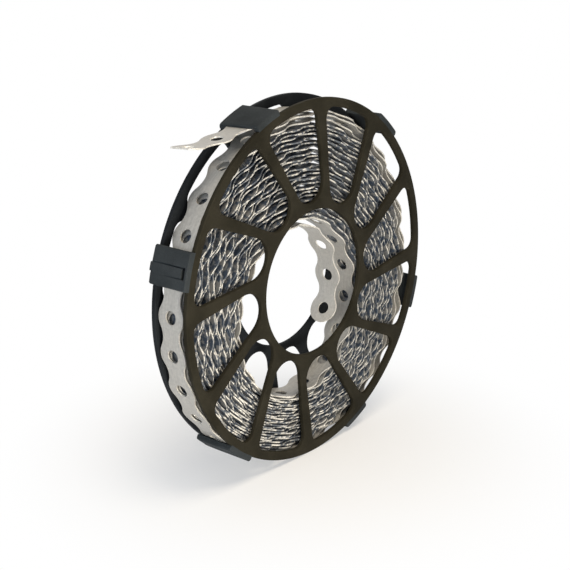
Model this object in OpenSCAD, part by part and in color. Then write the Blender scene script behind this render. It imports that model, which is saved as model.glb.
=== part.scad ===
// Perforated metal strap, wound loosely on an open plastic dispenser reel.
// The reel's axis is Y and the front cover faces -Y. The origin is the centre of the reel.
// Angles are measured in the XZ plane, from +X towards +Z.

/* [Strap] */
// Width of the strap across a lobe
strap_w = 17; // [15:0.5:18]
// Thickness of the strap
strap_t = 0.8; // [0.6:0.1:1]
// Width of the strap at a waist, between two lobes
waist_w = 11; // [9:0.5:12]
// Diameter of the hole in each lobe
hole_d = 7; // [5:0.5:8]
// Nominal distance from one hole to the next
pitch = 20; // [19:0.5:21]

/* [Coil] */
// Number of turns in the coil
turns = 26; // [20:1:28]
// Outer radius of the coil, on the outermost turn
coil_r = 94; // [92:0.5:95]
// Radius of the opening inside the coil
bore_r = 48; // [46:1:50]
// How far the outermost turn lies to one side of the reel's axis
outer_shift = 0; // [-2:0.5:2]
// How far the outermost turn has sagged below the reel's axis
outer_sag = 3.5; // [2:0.5:4]
// How far the innermost turn lies to one side of the reel's axis
inner_shift = -3; // [-4:0.5:2]
// How far the innermost turn has sagged below the reel's axis
inner_sag = 15; // [10:0.5:15]
// Width of the middle band of the coil, where the turns are taken as packed solid
core_w = 5; // [4:0.5:8]

/* [Covers] */
// Diameter of both covers
cover_d = 200; // [198:0.5:202]
// Thickness of each cover
cover_t = 2.6; // [2:0.1:2.8]
// Overall width of the reel across both covers
reel_w = 24.2; // [24:0.1:26]
// Diameter of the hole through the hub
hub_hole_d = 81; // [76:1:82]
// Radial width of the ring round the hub hole
hub_ring_w = 4.1; // [4:0.1:6]
// Radial width of the outer rim
rim_w = 5; // [4.8:0.1:6.5]

/* [Spokes] */
// Number of spokes, and of the windows between them
spokes = 12; // [10:1:14]
// Width of a spoke near the hub
spoke_w_in = 5.2; // [4:0.1:6]
// Width of a spoke near the rim
spoke_w_out = 6.6; // [5:0.1:8]
// Distance by which each spoke's centre line misses the axis
spoke_lean = 16.7; // [10:0.1:18]
// Direction of the first spoke, in degrees
spoke_turn = 37.6; // [30:0.1:45]
// Radius of a window's corners at the rim
window_corner_r = 5.5; // [4:0.5:6]

/* [Bridges] */
// Length of each bridge along the rim, in degrees
bridge_arc = 11.2; // [9:0.2:12]
// Thickness of a bridge
bridge_t = 3; // [2.4:0.1:3.4]
// Width of the snap tongue in a bridge
tongue_w = 4.3; // [3:0.1:5]

/* [Hidden] */
$fn = 96;
eps = 0.05;
bar_fn = 48;
// By how much two rounds that run into each other overlap, so that they cross and don't just touch
lap = 0.02;

// Covers
cover_r = cover_d / 2;
window_out_r = cover_r - rim_w;
window_in_r = hub_hole_d / 2 + hub_ring_w;
spoke_step = 360 / spokes;
face_y = reel_w / 2;
inner_y = face_y - cover_t;

// Stations along a spoke where its two widths are measured
station_in = 57.6;
station_out = 78.2;
spoke_flare = atan((spoke_w_out - spoke_w_in) / 2 / (station_out - station_in));

// Bridges: the hood over the strap's outlet, then five snap clips
hood_angle = 113;
clip_angles = [163.8, 232.3, 293.8, 343, 50];
bridge_r = cover_r + bridge_t;
bridge_corner_r = 1.2;
bridge_root = 4; // how far a bridge reaches down into the front cover
seat_gap = 0.1; // between a bridge and the rear cover's rim
tongue_side = 0.8; // from a clip's middle to the near side of its tongue
slit_w = 0.7;
slit_depth = 1.2;
slit_from = 0.5; // from the front cover's inner face to the start of a slit
short_slit_l = 17;
socket_l = 3; // the window at the tongue's root
hook_t = 0.9;
hook_l = 3.2;
hook_reach = 1.5; // how far the hook laps over the rear cover's rim

// Coil: every turn is a ring, and its centre moves steadily from the outermost to the innermost
outer_c = [outer_shift, -outer_sag];
inner_c = [inner_shift, -inner_sag];
ring_step = (coil_r - bore_r - strap_t) / (turns - 1);
ring_w = strap_w - 0.1;
function ring_r(k) = coil_r - k * ring_step;
function ring_c(k) = outer_c + (inner_c - outer_c) * k / (turns - 1);

// Outermost turn: whole lobes all the way round
turn_mid_r = coil_r - strap_t / 2;
lobes = round(2 * PI * turn_mid_r / pitch);
lobe_step = 360 / lobes;
lobe_r = strap_w / 2;
sheet_w = strap_w + 2; // of the sheet that the lobes are cut from
first_lobe = 177.9;

// Concave arc between two lobes, tangent to both and touching the waist
half_pitch = pitch / 2;
waist_arc_r = (half_pitch * half_pitch + waist_w * waist_w / 4 - lobe_r * lobe_r)
    / (2 * lobe_r - waist_w);
waist_arc_y = waist_w / 2 + waist_arc_r;
tangent_y = lobe_r * waist_arc_y / (lobe_r + waist_arc_r);

// Outer tail, from the coil to its tip: it lifts off the outermost turn, leaves under the hood,
// bends level, runs flat past two holes and ends at a waist with its tip raised a little.
lift_from = 80;
mouth_gap = 0.65;
slope_l = 4;
level_r = 36;
flat_l = 27.5;
curl_l = 8;
curl_turn = 16;
tail_lobes = 5;
tail_holes = 4; // the fifth lobe still lies flat on the turn below
tail_first_hole = 11.5;
tail_sink = 0.1; // by which the tail's first end is thinner, so that it starts inside the turn below

// Inner tail: an arc that springs away from the innermost turn into the hub hole
spring_r = 37.5;
spring_from = 121.5;
spring_mid = 60; // between its two halves
spring_end = -30.5;
spring_holes = 5;
spring_sink = 0.15; // by which it starts beyond the middle of the innermost turn
hole_pocket = 0.5; // depth of the dark pocket under a hole of the outermost turn

// How far a cutter reaches past a sheet, on each side
cutter_l = 3;

function at(r, a) = [r * cos(a), r * sin(a)];

// Extrudes a flat shape drawn in XZ from y0 to y1.
module across(y0, y1) {
    translate([0, y1, 0]) rotate([90, 0, 0]) linear_extrude(height = y1 - y0) children();
}

// A round bar along a radius of the circle about c, from radius r0 to r1.
module radial_bar(c, a, r0, r1, d, y = 0) {
    translate([c[0], y, c[1]]) rotate([0, 90 - a, 0]) translate([0, 0, r0])
        cylinder(h = r1 - r0, d = d, $fn = bar_fn);
}

// A wedge between two angles at c, which covers the circle of radius r there.
module wedge(c, a0, a1, r) {
    mid = (a0 + a1) / 2;
    half = (a1 - a0) / 2;
    far = r / cos(half / 2);
    polygon([c, c + at(r, a0), c + at(far, mid - half / 2), c + at(far, mid + half / 2), c + at(r, a1)]);
}

module ring2d(c, r_out, r_in) {
    difference() {
        translate(c) circle(r_out);
        translate(c) circle(r_in);
    }
}

// ---- Covers ----

// Side of a spoke: side = 1 is its anticlockwise flank, -1 its clockwise one.
// A flank is the line n . p = offset, and n points away from the spoke into the window.
function flank_angle(k, side) = spoke_turn + k * spoke_step + side * spoke_flare;
function flank_n(k, side) = side * [-sin(flank_angle(k, side)), cos(flank_angle(k, side))];
function flank_point(k, side) = let (a = spoke_turn + k * spoke_step)
    station_in * [cos(a), sin(a)] + (side * spoke_w_in / 2 - spoke_lean) * [-sin(a), cos(a)];
function flank_offset(k, side) = flank_n(k, side) * flank_point(k, side);

// Centre of the circle of radius r that touches both flanks of a window.
function between(n1, c1, n2, c2) = let (d = n1[0] * n2[1] - n1[1] * n2[0])
    [(c1 * n2[1] - c2 * n1[1]) / d, (n1[0] * c2 - n2[0] * c1) / d];
function nest(k, r) = between(flank_n(k, 1), flank_offset(k, 1) + r,
    flank_n(k + 1, -1), flank_offset(k + 1, -1) + r);

// Centre of the corner circle that touches a flank and the inside of the rim.
function rim_corner(k, side) = let (n = flank_n(k, side), c = flank_offset(k, side) + window_corner_r,
    d = [cos(flank_angle(k, side)), sin(flank_angle(k, side))])
    c * n + sqrt(pow(window_out_r - window_corner_r, 2) - c * c) * d;

// The arch at the hub end is as large as fits between the flanks at its distance from the axis.
function arch_error(r) = norm(nest(0, r)) - r - window_in_r;
function solve_arch(lo, hi, n = 0) = let (mid = (lo + hi) / 2)
    n > 30 ? mid : arch_error(mid) > 0 ? solve_arch(lo, mid, n + 1) : solve_arch(mid, hi, n + 1);
arch_r = solve_arch(4, 20);

module window2d(k) {
    n1 = flank_n(k, 1);
    n2 = flank_n(k + 1, -1);
    hub_c = nest(k, arch_r);
    c1 = rim_corner(k, 1);
    c2 = rim_corner(k + 1, -1);
    past_rim = cover_r / norm(c1);
    translate(hub_c) circle(arch_r + lap);
    translate(c1) circle(window_corner_r + lap);
    translate(c2) circle(window_corner_r + lap);
    intersection() {
        circle(window_out_r);
        polygon([hub_c - arch_r * n1, c1 - window_corner_r * n1, c1, past_rim * c1,
            past_rim * c2, c2, c2 - window_corner_r * n2, hub_c - arch_r * n2]);
    }
}

module cover_plate2d() {
    difference() {
        circle(cover_r);
        circle(hub_hole_d / 2);
        for (k = [0 : spokes - 1]) window2d(k);
    }
}

// Section of a bridge, from radius r_in out to its round-cornered top.
module bridge2d(angle, r_in) {
    half = bridge_arc / 2;
    corner_a = bridge_corner_r / (bridge_r - bridge_corner_r) * 180 / PI;
    intersection() {
        ring2d([0, 0], bridge_r - bridge_corner_r, r_in);
        wedge([0, 0], angle - half, angle + half, bridge_r);
    }
    intersection() {
        ring2d([0, 0], bridge_r, r_in);
        wedge([0, 0], angle - half + corner_a, angle + half - corner_a, bridge_r);
    }
    for (side = [-1, 1])
        translate(at(bridge_r - bridge_corner_r, angle + side * (half - corner_a)))
            circle(bridge_corner_r + lap);
}

module bridge(angle) {
    across(-face_y, -inner_y) bridge2d(angle, cover_r - bridge_root);
    across(-inner_y - eps, face_y) bridge2d(angle, cover_r + seat_gap);
}

// Two slits that free the tongue, the socket at its root and the hook at its tip.
module clip(angle) {
    slit_a = tongue_w / bridge_r * 180 / PI;
    difference() {
        bridge(angle);
        rotate([0, -angle, 0]) {
            translate([bridge_r - slit_depth, -inner_y + slit_from, -tongue_side - slit_w])
                cube([bridge_t, reel_w, slit_w]);
            translate([bridge_r - slit_depth, -inner_y + slit_from, tongue_w - tongue_side])
                cube([bridge_t, short_slit_l, slit_w]);
            translate([cover_r - eps, -inner_y, -tongue_side - slit_w])
                cube([bridge_t + 2 * eps, socket_l, tongue_w + 2 * slit_w]);
        }
    }
    rotate([0, -angle, 0]) {
        translate([cover_r - hook_reach, face_y + seat_gap, -tongue_side])
            cube([bridge_t + hook_reach, hook_t, hook_l]);
        translate([cover_r + seat_gap, face_y - hook_t, -tongue_side])
            cube([bridge_t - seat_gap, hook_t + seat_gap + eps, hook_l]);
    }
}

module front_cover() {
    color([0.22, 0.20, 0.16]) {
        across(-face_y, -inner_y) cover_plate2d();
        bridge(hood_angle);
        for (angle = clip_angles) clip(angle);
    }
}

module rear_cover() {
    color([0.16, 0.17, 0.19]) across(inner_y, face_y) cover_plate2d();
}

// ---- Strap ----

// Cutters through a sheet bent round c: one on each side at every waist, one at every lobe.
module waist_bars(c, r, angles) {
    for (a = angles, side = [-1, 1])
        radial_bar(c, a, r - cutter_l, r + cutter_l, 2 * (waist_arc_r + lap), side * waist_arc_y);
}

module lobe_bars(c, r, angles, d) {
    for (a = angles) radial_bar(c, a, r - cutter_l, r + cutter_l, d);
}

// Turns the band (child 0) and a wider sheet (child 1) into lobed strap bent round c.
module lobed(c, r, lobe_angles, waist_angles) {
    difference() {
        union() {
            children(0);
            intersection() {
                children(1);
                lobe_bars(c, r, lobe_angles, strap_w);
            }
        }
        waist_bars(c, r, waist_angles);
    }
}

// The outermost turn, with whole lobes all the way round.
turn_lobe_angles = [for (k = [0 : lobes - 1]) first_lobe + k * lobe_step];
turn_waist_angles = [for (a = turn_lobe_angles) a + lobe_step / 2];

module outer_turn() {
    lobed(outer_c, coil_r, turn_lobe_angles, turn_waist_angles) {
        across(-tangent_y, tangent_y) ring2d(outer_c, coil_r, coil_r - strap_t);
        across(-sheet_w / 2, sheet_w / 2) ring2d(outer_c, coil_r, coil_r - strap_t);
    }
}

// The turns below it: rings that show on both ends, packed solid in the middle of the width.
module inner_turns() {
    across(-core_w / 2, core_w / 2) difference() {
        translate(outer_c) circle(coil_r - strap_t + eps);
        translate(inner_c) circle(bore_r + strap_t / 2);
    }
    for (k = [1 : turns - 1])
        across(-ring_w / 2, ring_w / 2) ring2d(ring_c(k), ring_r(k), ring_r(k) - strap_t);
}

// The path of the outer tail, as lengths and turns in degrees, from its tangent point on the coil.
mouth = at(cover_r - mouth_gap, hood_angle + bridge_arc / 2);
mouth_d = mouth - outer_c;
lift_cos = mouth_d * at(1, lift_from);
lift_extra = (mouth_d * mouth_d - turn_mid_r * turn_mid_r) / (2 * (turn_mid_r - lift_cos));
lift_r = turn_mid_r + lift_extra;
lift_c = outer_c - lift_extra * at(1, lift_from);
mouth_rel = mouth - lift_c;
lift_turn = atan2(mouth_rel[1], mouth_rel[0]) - lift_from;
level_turn = lift_from + lift_turn - 90;
arc_l = PI / 180;
tail_path = [[lift_r * lift_turn * arc_l, lift_turn], [slope_l, 0],
    [level_r * level_turn * arc_l, -level_turn], [flat_l, 0], [curl_l, -curl_turn]];
tail_start = outer_c + at(turn_mid_r, lift_from);
tail_l = [for (seg = tail_path) seg[0]] * [for (seg = tail_path) 1];

// Point reached by going l along a segment of the given length and turn, from p at heading h.
function along(p, h, seg, l) = let (dh = seg[1] * l / seg[0], r = seg[1] == 0 ? 0 : seg[0] / (seg[1] * arc_l))
    seg[1] == 0 ? p + at(l, h) : p + r * [sin(h + dh) - sin(h), cos(h) - cos(h + dh)];
// Point and heading at length l along the tail.
function tail_pose(l, p = tail_start, h = lift_from + 90, i = 0) = let (seg = tail_path[i])
    l <= seg[0] || i == len(tail_path) - 1
        ? [along(p, h, seg, l), h + seg[1] * l / seg[0]]
        : tail_pose(l - seg[0], along(p, h, seg, seg[0]), h + seg[1], i + 1);
function tail_side(l, side) = let (pose = tail_pose(l), half_t = strap_t / 2 - (l > 0 ? 0 : tail_sink))
    pose[0] + side * half_t * at(1, pose[1] - 90);

// Lengths at which the sheet is drawn: close together on the bends, with the flat run in one piece.
lift_l = tail_path[0][0];
bend_l = lift_l + slope_l;
flat_from = bend_l + tail_path[2][0];
flat_to = flat_from + flat_l;
lift_steps = 15;
bend_steps = 5;
curl_steps = 4;
tail_stations = concat([for (i = [0 : lift_steps]) lift_l * i / lift_steps],
    [for (i = [0 : bend_steps]) bend_l + (flat_from - bend_l) * i / bend_steps],
    [for (i = [0 : curl_steps]) flat_to + curl_l * i / curl_steps]);
tail_lobe_l = [for (i = [0 : tail_lobes - 1]) tail_l - tail_first_hole - i * pitch];
tail_waist_l = [for (l = tail_lobe_l) l + half_pitch];

module tail_sheet(w) {
    across(-w / 2, w / 2) polygon(concat([for (l = tail_stations) tail_side(l, 1)],
        [for (i = [len(tail_stations) - 1 : -1 : 0]) tail_side(tail_stations[i], -1)]));
}

// A bar through the tail, square to the sheet at length l.
module tail_bar(l, d, y = 0) {
    pose = tail_pose(l);
    radial_bar(pose[0], pose[1] - 90, -cutter_l, cutter_l, d, y);
}

module outer_tail() {
    difference() {
        union() {
            tail_sheet(2 * tangent_y);
            intersection() {
                tail_sheet(sheet_w);
                for (l = tail_lobe_l) tail_bar(l, strap_w);
            }
        }
        for (l = tail_waist_l, side = [-1, 1]) tail_bar(l, 2 * (waist_arc_r + lap), side * waist_arc_y);
        for (i = [0 : tail_holes - 1]) tail_bar(tail_lobe_l[i], hole_d);
    }
}

spring_mid_r = bore_r + strap_t / 2;
spring_c = inner_c + at(spring_mid_r + spring_sink - spring_r, spring_from);
spring_step = pitch / spring_r * 180 / PI;
spring_lobe_angles = [for (k = [0 : spring_holes]) spring_end + k * spring_step];
spring_waist_angles = [for (a = spring_lobe_angles) a + spring_step / 2];

module spring_sheet(w, a0) {
    intersection() {
        across(-w / 2, w / 2) ring2d(spring_c, spring_r + strap_t / 2, spring_r - strap_t / 2);
        across(-w, w) {
            wedge(spring_c, a0, spring_mid, spring_r + strap_t);
            wedge(spring_c, spring_mid - eps, spring_from, spring_r + strap_t);
        }
    }
}

module inner_tail() {
    difference() {
        lobed(spring_c, spring_r, spring_lobe_angles, spring_waist_angles) {
            spring_sheet(2 * tangent_y, spring_end);
            spring_sheet(sheet_w, spring_end - spring_step);
        }
        lobe_bars(spring_c, spring_r, [for (k = [0 : spring_holes - 1]) spring_lobe_angles[k]], hole_d);
    }
}

module perforated_strap() {
    color([0.76, 0.77, 0.77]) {
        difference() {
            union() {
                inner_turns();
                outer_turn();
            }
            for (a = turn_lobe_angles)
                radial_bar(outer_c, a, coil_r - strap_t - hole_pocket, coil_r + cutter_l, hole_d);
        }
        outer_tail();
        inner_tail();
    }
}

front_cover();
rear_cover();
perforated_strap();
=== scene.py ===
"""Perforated metal strap, wound loosely on an open plastic dispenser reel.

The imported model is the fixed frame. The strap is made here as one real length of lobed, punched
strip that runs from its free outer end, round all its turns, to its free inner end. The two covers,
the snap clips and the hood get the rounded edges and fine grain of a moulding.
Lengths are worked out in millimetres in the XZ plane of the reel, with y along its axis, and
become metres when a mesh is made. Angles are in degrees, from +X towards +Z.
"""

import math

import bpy
import numpy as np
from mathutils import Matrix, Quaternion, Vector


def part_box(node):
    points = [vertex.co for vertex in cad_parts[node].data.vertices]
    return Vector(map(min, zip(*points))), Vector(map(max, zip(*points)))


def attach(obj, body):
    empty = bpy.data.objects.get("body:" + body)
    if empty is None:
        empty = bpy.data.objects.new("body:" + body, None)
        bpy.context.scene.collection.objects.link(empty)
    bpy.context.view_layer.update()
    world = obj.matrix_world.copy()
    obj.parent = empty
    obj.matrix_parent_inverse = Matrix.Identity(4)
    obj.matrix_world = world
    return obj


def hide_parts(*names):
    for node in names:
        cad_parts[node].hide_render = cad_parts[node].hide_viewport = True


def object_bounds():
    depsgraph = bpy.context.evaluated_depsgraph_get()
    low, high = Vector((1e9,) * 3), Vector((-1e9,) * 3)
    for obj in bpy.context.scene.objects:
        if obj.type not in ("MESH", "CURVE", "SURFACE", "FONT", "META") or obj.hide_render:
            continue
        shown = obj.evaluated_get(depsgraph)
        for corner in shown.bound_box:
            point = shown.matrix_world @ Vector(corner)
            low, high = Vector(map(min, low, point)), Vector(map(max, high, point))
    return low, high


MM = 0.001

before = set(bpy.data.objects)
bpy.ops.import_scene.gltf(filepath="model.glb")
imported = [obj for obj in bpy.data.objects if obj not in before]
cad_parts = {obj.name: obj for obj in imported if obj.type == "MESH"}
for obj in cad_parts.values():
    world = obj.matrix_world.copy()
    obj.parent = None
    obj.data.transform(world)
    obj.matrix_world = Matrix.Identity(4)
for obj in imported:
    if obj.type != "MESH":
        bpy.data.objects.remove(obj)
cad_low, cad_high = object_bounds()
rear_low, rear_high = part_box("rear_cover")


# ---- Driving sizes, in millimetres and degrees ----

# Covers
COVER_R = rear_high.z / MM
FACE_Y = rear_high.y / MM
COVER_T = (rear_high.y - rear_low.y) / MM
INNER_Y = FACE_Y - COVER_T
HUB_HOLE_R = 40.5
HUB_RING_W = 4.1
RIM_W = 5.0
EDGE_ROUND = 0.45
EDGE_STEPS = 3
COVER_WELD = 2e-3             # grid on which a cover's sheets and walls are joined

# Spokes and the windows between them
SPOKES = 12
SPOKE_STEP = 360 / SPOKES
SPOKE_W_IN = 5.2              # width of a spoke at STATION_IN, along its centre line
SPOKE_W_OUT = 6.6             # and at STATION_OUT
STATION_IN = 57.6
STATION_OUT = 78.2
SPOKE_FLARE = math.degrees(math.atan((SPOKE_W_OUT - SPOKE_W_IN) / 2 / (STATION_OUT - STATION_IN)))
SPOKE_LEAN = 16.7             # by how much a spoke's centre line misses the axis
SPOKE_TURN = 37.6             # direction of the first spoke
WINDOW_CORNER_R = 5.5
ARCH_SEARCH = (4.0, 20.0)     # radii between which the arch at a window's hub end is found
HALVINGS = 40
STEPS = {"arch": 14, "flank": 6, "corner": 8, "rim": 8}   # points along each part of a window

# Bridges over the strap, moulded in one with the front cover
BRIDGE_T = 3.0
BRIDGE_ARC = 11.2
BRIDGE_R = COVER_R + BRIDGE_T
DEGREES_PER_MM = 180 / math.pi / BRIDGE_R
FACE_ROUND = 0.8              # rounding of their edges along both faces of the reel
SEAT_GAP = 0.1                # between their underside and the rear cover's rim
STEP_RUN = 0.01               # over which their underside steps up or down

# The hood over the strap's outlet
HOOD_ANGLE = 113.0
HOOD_ROOM = 1.9               # height of the hollow under its roof
HOOD_ROUND = 1.0              # rounding of its closed end
MOUTH_ROUND = 1.5             # and of the lip at its mouth
MOUTH_SKEW = 1.4              # angle by which the lip is cut back towards the front
LIP_LEAST = 0.05              # least thickness of the roof, at the lip
HOOD_SPACING = 0.8

# The snap clips. A rise is its height and the two y between which it grows.
CLIP_ANGLES = (163.8, 232.3, 293.8, 343.0, 50.0)
CLIP_ROUND = 1.2
CLIP_SPACING = (0.7, 0.9)     # of their stations, in degrees and in millimetres
TONGUE = (-0.6, 2.0)          # from a clip's middle
TONGUE_RISE = (0.25, 2, 11)
LOWER_RISE = (0.45, -7, 9)    # the half below the tongue stands a little prouder
LOWER_EASE = 1.2              # angle over which it sets in
SLIT_ARC = 0.42
SLIT_RUN = 0.03               # angle over which a slit's walls fall
FIRST_SLIT_DEPTH = 0.5
FIRST_SLIT_RISE = (0.9, 11, -6)
SECOND_SLIT_DEPTH = 0.25
SECOND_SLIT_RISE = (0.5, 6, -8)
SECOND_SLIT_END = 6.5
SOCKET = (-10.6, -8.4)        # the recess at the tongue's root, along y
SOCKET_DEPTH = 2.5
SOCKET_RUN = 0.1
FLAT_TOP = 0.7                # only what lies within this of the top rises
CLIP_TOP_GAP = 0.2            # a clip's highest part stays this much under the bridges' full height

# The hook at the tip of each tongue
HOOK_ENDS = (-0.8, 1.0)       # from the rear face
HOOK_ROUND = 0.5
HOOK_SPACING = 0.4
HOOK_DROP = 0.15              # by how much it lies under the bridges' full height
HOOK_SEAT = 0.1               # past this, from the rear face, it laps over the rim
HOOK_LAP = 1.5

# Strap
STRAP_W = 17.0
STRAP_T = 0.8
WAIST_W = 11.0
HOLE_R = 3.5
PITCH = 20.0
TIP_TO_HOLE = 6.0             # from the cut tip to the first hole
FINE_LOBE = (8, 3, 2, 2)      # steps round a lobe, round a waist, along a cut and from hole to edge
PLAIN_LOBE = (6, 2, 2, 1)
RING_SPREAD = 1.1             # power by which the rings between hole and edge spread
CUT_MARGIN = 0.3              # outline points nearer the cut tip than this are left out

# Coil. A drift is its size, the turns between its random heights, and its seed.
TURNS = 26
COIL_C = np.array([-2.5, -3.6])
COIL_R = 95.4
SLUMP = ((1.22, 158.8), (0.56, -45.4), (0.57, -42.7))     # size and angle of each harmonic
OPENING_C = np.array([-4.7, -14.7])
OPENING_R = 50.2
DENT = (6.0, 14.0, 92.0)      # by how much the inner turns hang into the opening, where, how wide
DRIFTS = ((0.3, 0.145, 3), (0.1, 0.047, 5), (0.4, 3.1, 8))
DRIFT_EASE = 0.6              # turns over which the drifts set in at either end
DRIFT_STOP = 0.5              # turns without them at the inner end
SPRUNG = (1.13, 24.15, 0.16)  # by how many shares the last turn but one springs in, where, how wide
# Ripples that the turns share: their height, their number round the reel, and the middle and the
# half width of the stretch that has them
RIPPLE = (0.8, 11, 70.0, 34.0)
# They set in between the first two turns, and stop between the last two, counted from the inner end
RIPPLE_TURNS = (1, 2, 3, 1.5)
PRESSED = (99.2, 316.0, 27.0)      # radius to which the outermost turn springs out, where, how wide
PRESSED_TURNS = (0.5, 0.7)         # turns between which that stops
SAMPLE = 0.3                  # spacing of the samples along the path
MEAN_TURN = 450.0             # length of a middle turn

# Its two free ends
COIL_FROM = 80.0              # angle at which the outer tail leaves the coil
TAIL_DIP = 190.0              # heading of the outer tail at its second hole, a little downwards
TAIL_TIP = 172.5              # and at its tip, which curls up
TAIL_BEND = 15.7              # length of its bend between the hood and that hole
TAIL_ROOM = 0.3               # from it to the hood's roof
TAIL_TWIST = -0.064           # slope across the strap at the tip
TAIL_TWIST_OVER = 45          # length over which that slope dies out
TAIL_SHIFT = 0.9              # by how much the outer tail lies towards the rear cover
INNER_TAIL_FROM = 172.0       # angle at which the inner tail starts to leave the coil
INNER_TAIL_FREE = 98.0        # angle at which it is wholly free
INNER_TAIL_C = np.array([-10.4, -3.8])
INNER_TAIL_R = 36.3
INNER_TAIL_OPENS = 3.0        # by how much its last stretch straightens out
INNER_TAIL_LAST = 1 / 8       # that stretch, in turns
INNER_TAIL_END = -30.5        # angle of the last hole
INNER_TAIL_PAST = np.arange(0, 22, 0.5)                   # angles from there on to past the end
TURNS_END = TURNS - (INNER_TAIL_END - COIL_FROM + 360) / 360 % 1

# How the lobes lie along the path
TURN_SHIFT = 18.0             # by how much the first turns' lobes are eased along, over how many
SHIFT_LOBES = 40
PRESSED_SHIFT = 4.8           # and where the outermost turn springs out, between which lobes
PRESSED_LOBES = (17, 24)
SWAYS = ((0.6, 0.6, 21), (0.3, 0.13, 22))                 # drifts towards either cover
LEAN = (0.008, 0.45, 23)      # drift of the slope across the strap
OPEN_OUTSIDE = 1250.0         # lengths at either end whose lobes are rounder, as they show best
OPEN_INSIDE = 800.0
OPEN_LOBES = (66, 546)        # the wound-up turns lie between these two lobes
OPEN_FADES = (3, -8)          # their painted shade sets in over this many, from either


# ---- Small helpers ----

def polar(r, angle):
    """Points [..., (x, z)] at radius r and angle in degrees."""
    a = np.radians(angle)
    return np.stack([r * np.cos(a), r * np.sin(a)], -1)


def angle_of(v):
    """Direction of the vector v."""
    return math.degrees(math.atan2(v[1], v[0]))


def turned(angle, middle):
    """The angle counted from middle, within half a turn of it."""
    return (angle - middle + 180) % 360 - 180


def make_mesh(name, verts_mm, faces, sharp_angle=40.0, uv=None, index=None):
    """Puts arrays into one mesh object at the origin.

    verts_mm is (n, 3) in millimetres, faces a list of (m, k) index arrays, uv a (n, 2) array and
    index one material index a face. Edges whose faces meet at more than sharp_angle stay sharp.
    """
    mesh = bpy.data.meshes.new(name)
    sizes = np.concatenate([np.full(len(f), f.shape[1]) for f in faces])
    loops = np.concatenate([f.ravel() for f in faces]).astype(np.int32)
    mesh.vertices.add(len(verts_mm))
    mesh.vertices.foreach_set("co", (np.asarray(verts_mm) * MM).astype(np.float32).ravel())
    mesh.loops.add(len(loops))
    mesh.loops.foreach_set("vertex_index", loops)
    mesh.polygons.add(len(sizes))
    mesh.polygons.foreach_set("loop_start", (np.cumsum(sizes) - sizes).astype(np.int32))
    if index is not None:
        mesh.polygons.foreach_set("material_index", index.astype(np.int32))
    mesh.update(calc_edges=True)
    if uv is not None:
        layer = mesh.uv_layers.new(name="UVMap")
        layer.data.foreach_set("uv", uv[loops].astype(np.float32).ravel())
    mesh.polygons.foreach_set("use_smooth", np.ones(len(sizes), bool))
    mesh.set_sharp_from_angle(angle=math.radians(sharp_angle))
    mesh.validate()
    piece = bpy.data.objects.new(name, mesh)
    bpy.context.scene.collection.objects.link(piece)
    return piece


def grid_quads(rows, cols, close_rows=False, close_cols=False, start=0):
    """Quads of a rows by cols grid of vertices, wrapped round in either direction if closed."""
    i = np.arange(rows if close_rows else rows - 1)[:, None]
    j = np.arange(cols if close_cols else cols - 1)[None, :]
    i1, j1 = (i + 1) % rows, (j + 1) % cols
    quads = np.stack([i * cols + j, i * cols + j1, i1 * cols + j1, i1 * cols + j], -1)
    return quads.reshape(-1, 4) + start


def welded(verts, faces, grid=1e-4):
    """Merges vertices that lie on the same point of a fine grid, and drops collapsed corners."""
    key = np.round(verts / grid).astype(np.int64)
    _, first, back = np.unique(key, axis=0, return_index=True, return_inverse=True)
    back = back.reshape(-1)
    out = []
    for f in faces:
        g = back[f]
        good = np.ones(len(g), bool)
        for a in range(g.shape[1]):
            for b in range(a + 1, g.shape[1]):
                good &= g[:, a] != g[:, b]
        out.append(g[good])
    return verts[first], out


def smoothstep(x, low, high):
    """Runs from 0 to 1 between low and high, level at both ends."""
    t = np.clip((x - low) / (high - low), 0, 1)
    return t * t * (3 - 2 * t)


def bell(x, width, power=2):
    """Bell curve round 0: e to the minus (x over width) squared, or to a higher power."""
    return np.exp(-(x / width) ** power)


def wander(x, step, seed):
    """Smooth random curve within -1 and 1: random heights step apart, joined by cosine-eased steps."""
    heights = np.random.default_rng(seed).uniform(-1, 1, int(x.max() / step) + 3)
    low = np.floor(x / step).astype(int)
    t = smoothstep(x / step - low, 0, 1)
    return heights[low] * (1 - t) + heights[low + 1] * t


def drift(x, rows):
    """Sum of smooth random curves, one for each (size, step, seed)."""
    return sum(size * wander(x, step, seed) for size, step, seed in rows)


# ---- Strap: the path of its middle line ----

def outline_r(angle):
    """Radius of the outermost turn about COIL_C: a circle that has slumped by a few harmonics."""
    waves = (size * np.cos(np.radians(n * (angle - phase)))
             for n, (size, phase) in enumerate(SLUMP, 1))
    return COIL_R + sum(waves)


def opening_r(angle):
    """Distance from COIL_C to the edge of the opening, along each angle: a circle, less a bell curve
    where the inner turns have sprung inwards."""
    depth, middle, width = DENT
    offset = OPENING_C - COIL_C
    along = polar(1.0, angle) @ offset
    circle = along + np.sqrt(OPENING_R ** 2 - offset @ offset + along ** 2)
    return circle - depth * bell(turned(angle, middle), width)


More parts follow.
